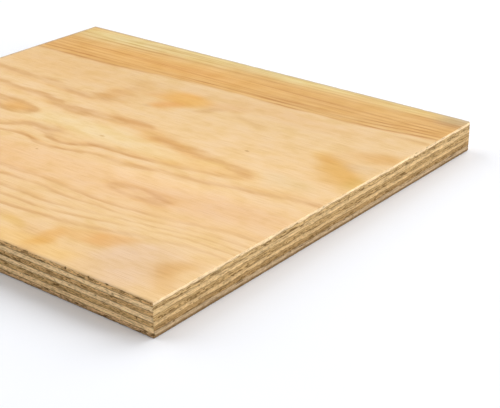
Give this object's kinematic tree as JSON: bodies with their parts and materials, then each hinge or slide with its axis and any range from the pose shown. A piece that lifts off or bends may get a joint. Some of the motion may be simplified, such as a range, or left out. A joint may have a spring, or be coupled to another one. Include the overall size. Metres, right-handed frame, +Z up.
{
  "type": "plywood sheet",
  "caption": "Flat cut panel of pine plywood: peeled veneers glued with crossed grain, a figured good face, and sawn edges that show the plies.",
  "frame": {"origin": "centre of the sheet's underside", "axes": "+X along the grain of the face, which is the sheet's length; +Y across that grain; +Z up through the thickness, towards the good face"},
  "size_m": [0.3, 0.27, 0.018],
  "materials": {
    "face_veneer": "matte",
    "crossband": "matte",
    "core_veneer": "matte",
    "back_veneer": "matte"
  },
  "bodies": {
    "root": {"back_veneer": "back_veneer", "lower_crossband": "crossband", "lower_core": "core_veneer", "middle_crossband": "crossband", "upper_core": "core_veneer", "upper_crossband": "crossband", "face_veneer": "face_veneer"}
  },
  "joints": []
}
